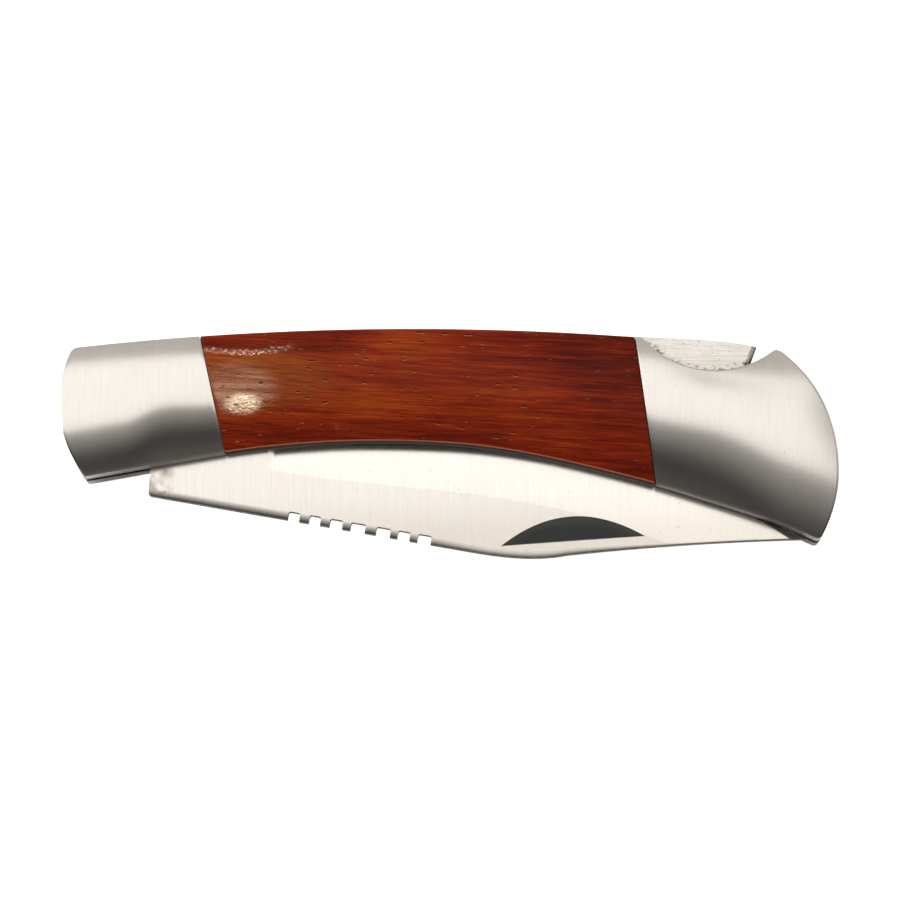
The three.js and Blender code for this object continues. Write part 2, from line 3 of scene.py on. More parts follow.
import bpy
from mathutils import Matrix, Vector


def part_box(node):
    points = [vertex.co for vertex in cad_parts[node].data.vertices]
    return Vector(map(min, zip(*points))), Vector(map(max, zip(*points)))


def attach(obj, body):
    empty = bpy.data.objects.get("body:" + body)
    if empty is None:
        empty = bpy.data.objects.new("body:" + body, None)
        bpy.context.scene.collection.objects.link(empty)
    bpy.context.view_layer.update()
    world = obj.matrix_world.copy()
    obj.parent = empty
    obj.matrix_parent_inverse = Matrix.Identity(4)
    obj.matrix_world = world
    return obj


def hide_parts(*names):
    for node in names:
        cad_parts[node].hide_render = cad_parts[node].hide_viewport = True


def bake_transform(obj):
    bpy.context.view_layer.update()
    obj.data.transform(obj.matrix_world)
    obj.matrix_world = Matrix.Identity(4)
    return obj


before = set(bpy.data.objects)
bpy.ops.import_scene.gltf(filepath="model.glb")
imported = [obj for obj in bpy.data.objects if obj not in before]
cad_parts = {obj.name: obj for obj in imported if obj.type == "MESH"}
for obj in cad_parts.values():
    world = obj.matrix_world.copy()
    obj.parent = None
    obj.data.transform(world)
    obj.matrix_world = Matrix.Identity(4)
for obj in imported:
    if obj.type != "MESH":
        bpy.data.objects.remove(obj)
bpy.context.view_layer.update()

mm = 0.001
past = 1  # mm by which a cutter runs past what it cuts

# Heights of the layers in mm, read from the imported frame
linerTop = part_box("front_liner")[1].z / mm
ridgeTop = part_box("front_scale")[1].z / mm
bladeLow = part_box("blade")[0].z / mm
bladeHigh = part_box("blade")[1].z / mm
middleZ = (bladeLow + bladeHigh) / 2
bladeHalf = (bladeHigh - bladeLow) / 2


# Profile of the handle in mm, with the pivot at x 0, y 0

profile = {
    "back": (36.4, 11.2, 3.88),  # highest point, and the fall to the butt end
    "belly": (32.0, -3.3, 14.04),
    "bellyFlatAngle": 10.0,
    # how far the belly hangs below its arc: from x on, over, and back from x on, over
    "bellySag": (0.62, 42.0, 22.0, 72.0, 15.5),
    "frontEnd": (-9.1, 1.7, 15.45),  # an arc's outermost x, its middle's y, its radius
    "buttEnd": (91.0, -6.65, 19.05),
    "thumb": (75.05, 5.8, 12.25),  # an arc's lowest point, its radius
    "hornRadius": 0.9,
    "crownRise": 1.2,
    "frontJoint": (11.15, 12.3),  # x at y 0, lean in degrees
    "buttJoint": (66.27, 7.9),
    "jointGap": 0.08,
    "jointRounds": 12,  # rounds that find a joint's end
    "cornerReach": 0.7,
}


def smooth(t):
    t = min(1.0, max(0.0, t))
    return t * t * (3 - 2 * t)


class Circle:
    def __init__(self, x, y, r):
        self.x, self.y, self.r = x, y, r

    def top(self, x):
        return self.y + math.sqrt(self.r ** 2 - (x - self.x) ** 2)

    def angle(self, point):
        return math.atan2(point[1] - self.y, point[0] - self.x)

    def arc(self, start, end, turn):
        a, b = self.angle(start), self.angle(end)
        while turn > 0 and b < a:
            b += 2 * math.pi
        while turn < 0 and b > a:
            b -= 2 * math.pi
        return lambda t: (self.x + self.r * math.cos(a + (b - a) * t),
                          self.y + self.r * math.sin(a + (b - a) * t))


def crossing(a, b):
    # the crossing of two circles to the left of the way from a's centre to b's
    dx, dy = b.x - a.x, b.y - a.y
    apart = math.hypot(dx, dy)
    along = (apart ** 2 + a.r ** 2 - b.r ** 2) / (2 * apart)
    off = math.sqrt(a.r ** 2 - along ** 2)
    return (a.x + (dx * along - dy * off) / apart, a.y + (dy * along + dx * off) / apart)


def straight(start, end):
    return lambda t: (start[0] + (end[0] - start[0]) * t, start[1] + (end[1] - start[1]) * t)


def quadratic(a, b, c):
    return lambda t: tuple((1 - t) ** 2 * a[k] + 2 * t * (1 - t) * b[k] + t * t * c[k]
                           for k in (0, 1))


def cubic(a, b, c, d):
    return lambda t: tuple((1 - t) ** 3 * a[k] + 3 * t * (1 - t) ** 2 * b[k]
                           + 3 * t * t * (1 - t) * c[k] + t ** 3 * d[k] for k in (0, 1))


def sampled(curve, count):
    return [curve(k / count) for k in range(count)]


def curveLength(curve, steps=24):
    points = sampled(curve, steps) + [curve(1)]
    return sum(math.dist(p, q) for p, q in zip(points, points[1:]))


def spread(curves, count):
    # count segments over a chain of curves, with a point at every corner between them
    lengths = [curveLength(curve) for curve in curves]
    left, room, points = count, sum(lengths), []
    for i, (curve, length) in enumerate(zip(curves, lengths)):
        share = left if i == len(curves) - 1 else max(2, round(left * length / room))
        points += sampled(curve, share)
        left, room = left - share, room - length
    return points + [curves[-1](1)]


def arcFalling(x, y, fall):
    run = profile["buttEnd"][0] - x
    r = (run ** 2 + fall ** 2) / (2 * fall)
    return Circle(x, y - r, r)


backArc = arcFalling(*profile["back"])
bellyArc = arcFalling(*profile["belly"])
endX, endY, endR = profile["frontEnd"]
frontArc = Circle(endX + endR, endY, endR)
endX, endY, endR = profile["buttEnd"]
buttArc = Circle(endX - endR, endY, endR)
thumbX, thumbY, thumbR = profile["thumb"]
thumbArc = Circle(thumbX, thumbY + thumbR, thumbR)

flatTilt = math.radians(profile["bellyFlatAngle"])
flatEnd = (bellyArc.x - bellyArc.r * math.sin(flatTilt),
           bellyArc.y + bellyArc.r * math.cos(flatTilt))


def flatY(x):
    return flatEnd[1] + (x - flatEnd[0]) * math.tan(flatTilt)


def lowerY(x):
    return flatY(x) if x < flatEnd[0] else bellyArc.top(x)


def sag(x):
    depth, start, run, back, backRun = profile["bellySag"]
    return depth * smooth((x - start) / run) * (1 - smooth((x - back) / backRun))


def bellyY(x):
    return lowerY(x) - sag(x)


def bellyCurve(start, end):
    run = end[0] - start[0]
    return lambda t: (start[0] + run * t, bellyY(start[0] + run * t))


upperY = backArc.top


def frontCorner():
    drop = (frontArc.y - flatY(frontArc.x)) * math.cos(flatTilt)
    reach = math.sqrt(frontArc.r ** 2 - drop ** 2)
    x = frontArc.x + drop * math.sin(flatTilt) - reach * math.cos(flatTilt)
    return (x, flatY(x))


def outFrom(centre, towards):
    apart = math.hypot(towards.x - centre.x, towards.y - centre.y)
    return (centre.x + (towards.x - centre.x) * centre.r / apart,
            centre.y + (towards.y - centre.y) * centre.r / apart)


hornR = profile["hornRadius"]
horn = Circle(*crossing(Circle(thumbArc.x, thumbArc.y, thumbArc.r + hornR),
                        Circle(buttArc.x, buttArc.y, buttArc.r - hornR)), hornR)
hornOut, hornIn = outFrom(buttArc, horn), outFrom(thumbArc, horn)
thumbStart = crossing(backArc, thumbArc)
frontBottom = frontCorner()
frontTop = crossing(backArc, frontArc)
buttBottom = crossing(buttArc, bellyArc)


def jointX(joint, y, side):
    x, lean = profile[joint]
    return x - y * math.tan(math.radians(lean)) + side * profile["jointGap"] / 2


def jointEnd(joint, side, edge):
    # where a joint line meets the back or the belly
    y = 0.0
    for _ in range(profile["jointRounds"]):
        y = edge(jointX(joint, y, side))
    return (jointX(joint, y, side), y)


# The crown over the whole handle, one smooth surface for bolsters and wood

crown = {
    "endFall": 0.22,  # the bolster's rounding towards the butt end, over the last mm
    "endRun": 7.0,
    "sunk": 0.02,  # below the solids' top, so that the shape stays inside their box
    # x in mm, then where the ridge lies for the lower and the upper side, in half heights
    "ridge": [(-8.5, -0.2, 0.0), (-1.0, -0.17, 0.0), (4.5, -0.01, 0.0), (10.6, -0.08, 0.0),
              (40.0, -0.05, -0.03), (66.0, -0.06, -0.09), (75.0, -0.04, -0.245),
              (85.0, -0.18, -0.28), (91.0, -0.19, -0.28)],
    "change": (-0.1, 0.7),  # from the lower ridge to the upper: from this share on, over
}


def ridgeAt(x, share):
    stations = crown["ridge"]
    x = min(stations[-1][0], max(stations[0][0], x))
    for before, after in zip(stations, stations[1:]):
        if x <= after[0]:
            break
    along = smooth((x - before[0]) / (after[0] - before[0]))
    low = before[1] + (after[1] - before[1]) * along
    high = before[2] + (after[2] - before[2]) * along
    changeFrom, changeRun = crown["change"]
    return low + (high - low) * smooth((share - changeFrom) / changeRun)


def crownZ(x, y):
    half = (upperY(x) - lowerY(x)) / 2
    share = (y - (upperY(x) + lowerY(x)) / 2) / half
    end = max(0.0, (x - profile["buttEnd"][0]) / crown["endRun"] + 1)
    fall = profile["crownRise"] * (share - ridgeAt(x, share)) ** 2 + crown["endFall"] * end ** 2
    return ridgeTop - crown["sunk"] - fall


# Modelling helpers

def deselectAll():
    for other in list(bpy.context.selected_objects):
        other.select_set(False)


def only(piece):
    deselectAll()
    piece.select_set(True)
    bpy.context.view_layer.objects.active = piece


def edit(piece, action="SELECT"):
    only(piece)
    bpy.ops.object.mode_set(mode="EDIT")
    bpy.ops.mesh.select_all(action=action)


def objectMode():
    bpy.ops.object.mode_set(mode="OBJECT")


def named(piece, name):
    piece.name = piece.data.name = name
    return piece


def fresh(name):
    return named(bpy.context.active_object, name)


def duplicate(piece, name):
    other = piece.copy()
    other.data = piece.data.copy()
    bpy.context.collection.objects.link(other)
    return named(other, name)


def extrude(piece, rise):
    edit(piece)
    bpy.ops.mesh.extrude_region_move(TRANSFORM_OT_translate={"value": (0, 0, rise)})
    objectMode()


def signedVolume(mesh):
    total = 0.0
    for face in mesh.polygons:
        points = [mesh.vertices[i].co for i in face.vertices]
        for second, third in zip(points[1:], points[2:]):
            total += points[0].dot(second.cross(third))
    return total


def outward(piece):
    edit(piece)
    bpy.ops.mesh.normals_make_consistent(inside=False)
    objectMode()
    if signedVolume(piece.data) < 0:
        edit(piece)
        bpy.ops.mesh.flip_normals()
        objectMode()


def surfaceBlock(name, rows, farZ):
    # a grid laid on rows of points (in mm) and extruded to a flat face at farZ
    deselectAll()
    across, along = len(rows) - 1, len(rows[0]) - 1
    bpy.ops.mesh.primitive_grid_add(x_subdivisions=along, y_subdivisions=across, size=1)
    piece = fresh(name)
    for vertex in piece.data.vertices:
        i = round((vertex.co.x + 0.5) * along)
        j = round((vertex.co.y + 0.5) * across)
        vertex.co = Vector(rows[j][i]) * mm
    extrude(piece, mm)
    for vertex in piece.data.vertices:
        if vertex.select:
            vertex.co.z = farZ * mm
    outward(piece)
    return piece


def plate(name, outline, low, high):
    # a plan outline (mm) as a filled ring, extruded to its thickness
    deselectAll()
    bpy.ops.mesh.primitive_circle_add(vertices=len(outline), radius=1, fill_type="NGON")
    piece = fresh(name)
    for vertex, (x, y) in zip(piece.data.vertices, outline):
        vertex.co = Vector((x, y, low)) * mm
    extrude(piece, (high - low) * mm)
    outward(piece)
    return piece


def rod(name, x, y, radius, low, high, sides=64):
    deselectAll()
    bpy.ops.mesh.primitive_cylinder_add(vertices=sides, radius=radius * mm, depth=(high - low) * mm,
                                        location=(x * mm, y * mm, (low + high) / 2 * mm))
    piece = fresh(name)
    bpy.ops.object.transform_apply()
    return piece


def cut(piece, tool, crossed=False):
    # crossed is for a tool whose own surface runs through itself
    only(piece)
    modifier = piece.modifiers.new("cut", "BOOLEAN")
    modifier.operation = "DIFFERENCE"
    modifier.solver = "EXACT"
    modifier.use_self = crossed
    modifier.object = tool
    bpy.ops.object.modifier_apply(modifier="cut")
    bpy.data.objects.remove(tool, do_unlink=True)


cleaning = {"merge": 1e-7, "flat": 0.05}  # m between corners, degrees between faces


def cleaned(piece):
    edit(piece)
    bpy.ops.mesh.remove_doubles(threshold=cleaning["merge"])
    bpy.ops.mesh.dissolve_limited(angle_limit=math.radians(cleaning["flat"]))
    objectMode()
    return piece


def besideEdges(mesh, valueOf):
    # for each edge, a value of the faces beside it
    values = {}
    for face in mesh.polygons:
        for key in face.edge_keys:
            values.setdefault(key, []).append(valueOf(face))
    return values


def pickEdges(piece, wanted):
    # selects each edge between two faces for which wanted(middle in mm, normal, normal) holds
    mesh = piece.data
    normals = besideEdges(mesh, lambda face: face.normal.copy())
    picked = 0
    for edge in mesh.edges:
        pair = normals.get(edge.key, [])
        ends = [mesh.vertices[i].co for i in edge.vertices]
        middle = (ends[0] + ends[1]) / 2 / mm
        edge.select = len(pair) == 2 and wanted(middle, pair[0], pair[1])
        picked += edge.select
    return picked


def sharp(a, b, degrees):
    return a.angle(b, 0) > math.radians(degrees)


def soften(piece, wanted, width, segments=3):
    edit(piece, "DESELECT")
    bpy.ops.mesh.select_mode(type="EDGE")
    objectMode()
    picked = pickEdges(piece, wanted)
    bpy.ops.object.mode_set(mode="EDIT")
    if picked:
        bpy.ops.mesh.bevel(offset=width * mm, segments=segments, profile=0.5, affect="EDGES",
                           clamp_overlap=True)
    objectMode()


def smoothed(piece, degrees=32):
    only(piece)
    bpy.ops.object.shade_smooth_by_angle(angle=math.radians(degrees))
    modifier = piece.modifiers.new("shading", "WEIGHTED_NORMAL")
    modifier.keep_sharp = True
    bpy.ops.object.modifier_apply(modifier="shading")
    return piece


def mirrored(piece, name):
    # the same cover for the knife's other side, mirrored in the blade's middle plane
    other = duplicate(piece, name)
    edit(other)
    bpy.ops.transform.resize(value=(1, 1, -1), center_override=(0, 0, middleZ * mm))
    bpy.ops.mesh.normals_make_consistent(inside=False)
    objectMode()
    return smoothed(other)


def copyOf(node, name):
    # a CAD node's mesh as a piece of its own, with its corners merged
    piece = duplicate(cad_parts[node], name)
    piece.parent = None
    piece.matrix_world.identity()
    for key in list(piece.keys()):
        del piece[key]
    return cleaned(piece)


def placed(piece, body, slot, material, *nodes):
    piece.data.materials.clear()
    piece.data.materials.append(material)
    if body:
        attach(piece, body)
    if nodes:
        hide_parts(*nodes)
    return piece


# Shader maths: a socket that can be added, subtracted, multiplied, divided and raised

def maths(operation, swapped=False):
    def method(signal, other):
        values = {0: other, 1: signal} if swapped else {0: signal, 1: other}
        return signal.surface.add("ShaderNodeMath", values, operation=operation)
    return method


class Signal:
    __add__ = maths("ADD")
    __sub__ = maths("SUBTRACT")
    __rsub__ = maths("SUBTRACT", swapped=True)
    __mul__ = maths("MULTIPLY")
    __truediv__ = maths("DIVIDE")
    __pow__ = maths("POWER")

    def __init__(self, surface, socket):
        self.surface = surface
        self.socket = socket

    def between(self, low, high):
        return self.surface.add("ShaderNodeMapRange", {"Value": self, "From Min": low,
                                "From Max": high}, interpolation_type="SMOOTHSTEP")

    def over(self, low, high):
        # the same in mm
        return self.between(low * mm, high * mm)


class Surface:
    def __init__(self, name, blocks=bpy.data.materials, coordinates="Object"):
        self.owner = blocks.new(name)
        self.owner.use_nodes = True
        self.nodes = self.owner.node_tree.nodes
        self.links = self.owner.node_tree.links
        self.nodes.clear()
        self.place = self.add("ShaderNodeTexCoord", {}, coordinates)

    def add(self, kind, sockets, output=0, **settings):
        node = self.nodes.new(kind)
        for key, value in settings.items():
            setattr(node, key, value)
        for key, value in sockets.items():
            if isinstance(value, Signal):
                self.links.new(value.socket, node.inputs[key])
            else:
                node.inputs[key].default_value = value
        return Signal(self, node.outputs[output]) if len(node.outputs) else None

    def noise(self, x, y, z, detail=2.0, roughness=0.5, distortion=0.0, place=None):
        # with x, y and z cells per metre
        vector = self.add("ShaderNodeMapping", {"Vector": place or self.place, "Scale": (x, y, z)})
        return self.add("ShaderNodeTexNoise", {"Vector": vector, "Scale": 1.0, "Detail": detail,
                                               "Roughness": roughness, "Distortion": distortion})

    def mix(self, factor, a, b):
        return self.add("ShaderNodeMix", {0: factor, 6: a, 7: b}, 2, data_type="RGBA")

    def ramp(self, factor, stops):
        signal = self.add("ShaderNodeValToRGB", {"Fac": factor})
        elements = signal.socket.node.color_ramp.elements
        while len(elements) < len(stops):
            elements.new(1.0)
        for element, (position, colour) in zip(elements, stops):
            element.position, element.color = position, colour
        return signal

    def axis(self, name):
        return self.add("ShaderNodeSeparateXYZ", {"Vector": self.place}, name)

    def bump(self, height, distance, normal=None):
        sockets = {"Height": height, "Distance": distance, "Strength": 1.0}
        if normal:
            sockets["Normal"] = normal
        return self.add("ShaderNodeBump", sockets)

    def shader(self, colour, roughness, sockets):
        return self.add("ShaderNodeBsdfPrincipled",
                        {"Base Color": colour, "Roughness": roughness, **sockets})

    def finish(self, shader):
        self.add("ShaderNodeOutputMaterial", {"Surface": shader})
        return self.owner

    def finishSteel(self, colour, roughness, height, depth):
        sockets = {"Metallic": 1.0, "Normal": self.bump(height, depth)}
        return self.finish(self.shader(colour, roughness, sockets))


def rgb(hexColour):
    # a screen colour as linear values
    parts = [int(hexColour[i:i + 2], 16) / 255 for i in (0, 2, 4)]
    linear = (c / 12.92 if c <= 0.04045 else ((c + 0.055) / 1.055) ** 2.4 for c in parts)
    return (*linear, 1.0)


# Materials. A noise is given by its cells per metre along x, y and z, detail, roughness and
# distortion; an overlay by a noise, the range over which it sets in, its share and its colour.

def toned(s, tones, place=None):
    # the noises of a list of shares and noises, and their sum
    noises = [s.noise(*cells, place=place) for share, cells in tones]
    total = noises[0] * tones[0][0]
    for noise, (share, cells) in zip(noises[1:], tones[1:]):
        total = total + noise * share
    return noises, total


def nearPoint(s, point, reachX, reachY):
    # 1 at a point of the plan and 0 beyond its reach, all in mm
    x = (s.axis("X") - point[0] * mm) / (reachX * mm)
    y = (s.axis("Y") - point[1] * mm) / (reachY * mm)
    return 1 - (x * x + y * y).between(0.15, 1.0)


def overlaid(s, colour, look, where=None, place=None):
    cells, onset, share, shade = look
    spots = s.noise(*cells, place=place).between(*onset)
    spots = where * spots if where else spots
    return s.mix(spots * share, colour, rgb(shade))


def groundFace(s, steel):
    # its colour, roughness and brush lines; the first noise makes the lines, the last one clouds
    noises, tone = toned(s, steel["tones"])
    toneRange, dark, light, plain, cloudy = steel["face"]
    colour = s.mix(tone.between(*toneRange), rgb(dark), rgb(light))
    return colour, noises[-1] * cloudy + plain, noises[0]


satinSteel = {
    "tones": [(0.55, (9000, 260, 260, 2.0, 0.6)), (0.1, (3400, 90, 90, 2.0)),
              (0.35, (160, 110, 160, 3.0))],
    # range of the tone, dark and light colour, roughness and what the clouds add
    "face": ((0.2, 0.85), "e1dbd3", "ebe6df", 0.14, 0.05),
    "lineDepth": 0.12e-6,
    "specks": ((2600, 2600, 2600, 1.0), (0.76, 0.80), 0.25, "8a8078"),
}


def makeSatinSteel():
    s = Surface("satinSteel")
    colour, roughness, lines = groundFace(s, satinSteel)
    colour = overlaid(s, colour, satinSteel["specks"])
    return s.finishSteel(colour, roughness, lines, satinSteel["lineDepth"])


bladeSteel = {
    "tones": [(0.6, (7500, 150, 150, 3.0, 0.6)), (0.12, (1300, 40, 40, 2.0)),
              (0.28, (120, 120, 120, 3.0))],
    "face": ((0.35, 0.65), "f2ece2", "f9f4ee", 0.14, 0.05),
    "lineDepth": 0.1e-6,
    "spine": ((-15.5, -9.5), 0.5, "e4d9ca"),  # painted shade, darker towards the spine: y in mm over which it ends
    "specks": ((2900, 2900, 2900, 1.0), (0.74, 0.78), 0.5, "8a7052"),
    "patch": ((3.7, -8.0), 2.6, 2.4),  # rubbed and spotted by the shoulder: middle and reach, mm
    "smears": ((450, 380, 450, 2.0, 0.5), (0.30, 0.70), 0.65, "93795c"),
    "smearRoughness": 0.1,
    "spots": ((1800, 1800, 1800, 2.0), (0.60, 0.72), 0.45, "a4622c"),
    # painted shade and reflection on the nick's floor: its plan, depths, lines and colour
    "nickFloor": ((57.2, -15.2), 10.5, 2.1),
    "nickDepths": (0.2, 0.05),  # mm below the face where its colour is full and where it ends
    "nickLines": 0.6,
    "nickPaintedShade": (0.75, "b4c2c8"),
}


def makeBladeSteel():
    b = bladeSteel
    s = Surface("bladeSteel")
    colour, roughness, lines = groundFace(s, b)
    # painted shade: the faces are painted darker towards the spine
    fade, share, shade = b["spine"]
    colour = s.mix((1 - s.axis("Y").over(*fade)) * share, colour, rgb(shade))
    colour = overlaid(s, colour, b["specks"])
    patch = nearPoint(s, *b["patch"])
    cells, onset, share, shade = b["smears"]
    smear = patch * s.noise(*cells).between(*onset)
    colour = s.mix(smear * share, colour, rgb(shade))
    colour = overlaid(s, colour, b["spots"], patch)
    # painted shade and reflection: the nick's floor is painted bluer and darker along its middle
    sunk = 1 - s.axis("Z").over(*(bladeHigh - depth for depth in b["nickDepths"]))
    floor = nearPoint(s, *b["nickFloor"]) * sunk * (lines * b["nickLines"] + b["nickLines"])
    share, shade = b["nickPaintedShade"]
    colour = s.mix(floor * share, colour, rgb(shade))
    roughness = roughness + smear * b["smearRoughness"]
    return s.finishSteel(colour, roughness, lines, b["lineDepth"])


barSteel = {
    "tones": [(0.6, (70, 6500, 6500, 4.0, 0.7)), (0.4, (300, 500, 300, 3.0))],
    "face": ((0.36, 0.62), "ddd5c8", "f2eee8", 0.18, 0.08),
    "lineDepth": 0.9e-6,
    "scratches": ((260, 7000, 7000, 2.0, 0.5), (0.58, 0.70), 0.35, "b3a080"),
    "specks": ((3000, 3000, 3000, 1.0), (0.70, 0.75), 0.5, "5a4630"),
    "grime": "5a4630",
    "edgeDarkReach": (-1.25, -0.35),  # mm from the thumb cut-out's edge
    "edgeDarkStart": (65, 68),  # x in mm over which it sets in
    "grimeEven": 0.12,
    "blots": ((1700, 2300, 1700, 3.0, 0.6), (0.50, 0.60), 0.8),
}


def makeBarSteel():
    b = barSteel
    s = Surface("barSteel")
    x, y = s.axis("X"), s.axis("Y")
    colour, roughness, lines = groundFace(s, b)
    colour = overlaid(s, colour, b["scratches"])
    # darker, with blots, where the thumb cut-out's edge meets the bar
    cutX, cutY, cutR = profile["thumb"]
    besideX, besideY = x - cutX * mm, y - (cutY + cutR) * mm
    reach = (besideX * besideX + besideY * besideY) ** 0.5
    nearCut = reach.over(*(cutR + off for off in b["edgeDarkReach"])) * x.over(*b["edgeDarkStart"])
    cells, onset, share = b["blots"]
    blots = s.noise(*cells).between(*onset) * share
    colour = s.mix(nearCut * (blots + b["grimeEven"]), colour, rgb(b["grime"]))
    colour = overlaid(s, colour, b["specks"])
    return s.finishSteel(colour, roughness, lines, b["lineDepth"])


plainSteels = {
    # grain, its range, dark and light colour, roughness and what the grain adds, depth in m;
    # the rim is the blade's narrow ground edge, rougher than its faces and painted darker as shade
    "shadedRimSteel": ((1400, 1400, 500, 3.0, 0.6), (0.35, 0.65), "6e665c", "a8a096", 0.4, 0.15, 2e-6),
    "linerSteel": ((300, 300, 9000, 2.0), (0.3, 0.7), "6f6f72", "a3a3a4", 0.18, 0.1, 2e-6),
    "pinSteel": ((2500, 2500, 900, 2.0), None, "a19e98", "cfccc5", 0.26, 0.12, 3e-6),
    "springSteel": ((900, 2200, 900, 3.0), None, "55565a", "8b8c8f", 0.3, 0.15, 3e-6),
}


def makePlainSteel(name):
    cells, toneRange, dark, light, plain, grainy, depth = plainSteels[name]
    s = Surface(name)
    grain = s.noise(*cells)
    tone = grain.between(*toneRange) if toneRange else grain
    return s.finishSteel(s.mix(tone, rgb(dark), rgb(light)), grain * grainy + plain, grain, depth)


redWood = {
    "slant": 0.05,  # the grain runs down a little towards the butt
    # bands, sway, streaks and fibres
    "tones": [(0.5, (26, 420, 300, 4.0, 0.6, 0.9)), (0.45, (32, 70, 30, 2.0)),
              (0.3, (55, 1700, 900, 3.0, 0.6, 0.6)), (0.6, (210, 8000, 4000, 3.0, 0.7))],
    "toneShift": 0.425,
    # stretches in mm over which the tone changes
    "rightEnd": (46, 58),
    "leftEnd": (12, 52),
    "topEdge": (7.4, 9.2),
    "topEnd": (24, 36),
    "lowEdge": (-4.0, 1.2),
    "changes": (0.08, 0.2, 0.18, 0.11, 0.04),  # left, top, low, right, low right
    "ramp": [(0.16, "2a0905"), (0.36, "5c170b"), (0.52, "8a280f"), (0.70, "aa4914"),
             (0.92, "c67a26")],
    "lines": ((48, 3600, 2000, 2.0, 0.6, 0.3), (0.60, 0.70), 0.45, "2e0a06"),
    "brownPatch": ((15.5, 4.6), 13.0, 5.0),
    "browns": ((0.3, 0.7), 0.5, "6b3212", "a55d22"),
    "pores": ((620, 2600, 2600, 1.0, 0.5), (0.705, 0.735), 0.85, "1c0705"),
    "poreDepth": 4e-5,
    "poreHighlights": (1.3e-4, 0.3, "d8a080"),  # painted highlights below the pores: m below them, share and colour
    "rightLess": (0.5, 0.6),  # fewer pores and painted pore highlights at the right end
    "paintedShade": "34322f",  # painted shade on the walls beside the liners
    "lit": "e08a62",  # painted highlight on the rounded lower rim
    "ripple": (1500, 3200, 2000, 3.0, 0.6),
    "rippleShare": 0.3,
    "roughness": (0.45, 0.12, 0.2),  # and what the fibres and the pores add
    "gloss": {"Specular IOR Level": 0.05, "Coat Weight": 0.06, "Coat Roughness": 0.11},
    # the lacquer film's share, colour, roughness and dip towards the front joint, as a slope
    "film": (0.04, "fff0d0", 0.11, 0.236),
    "poreShade": 0.8,
    # patches of light: middle and reach in mm, power, even and broken share, the grain's range
    "halo": (((13.5, 3.4), 6.8, 4.2), 1.4, 0.3, 0.7, (0.30, 0.62)),
    "core": (((14.5, 1.35), 3.2, 1.9), 2.2, 2.6, 1.9, (0.40, 0.62)),
    "sparks": (14.6, 8.05, 20.0, 0.5),  # lowest point, bow, half width in mm
    "sparkRun": (9.2, 22.0, 0.6, 5),  # from and to along the handle, and its fades
    "glints": ((1900, 3800, 3800, 1.0), (0.52, 0.60), 5.0, 0.8),  # and the even share
}


def lightPatch(s, look, grain):
    place, power, even, broken, onset = look
    return nearPoint(s, *place) ** power * (grain.between(*onset) * broken + even)


def sparkLine(s, x, y):
    # a bowed line of sparks along the upper edge
    lowX, lowY, bow, half = redWood["sparks"]
    start, end, fadeIn, fadeOut = redWood["sparkRun"]
    aside = x - lowX * mm
    off = (y - lowY * mm - aside * aside * bow) ** 2
    line = (1 - off.between(0, (half * mm) ** 2)) * x.over(start - fadeIn, start)
    cells, onset, broken, even = redWood["glints"]
    glints = s.noise(*cells).between(*onset) * broken
    return line * (1 - x.over(end - fadeOut, end)) * (glints + even)


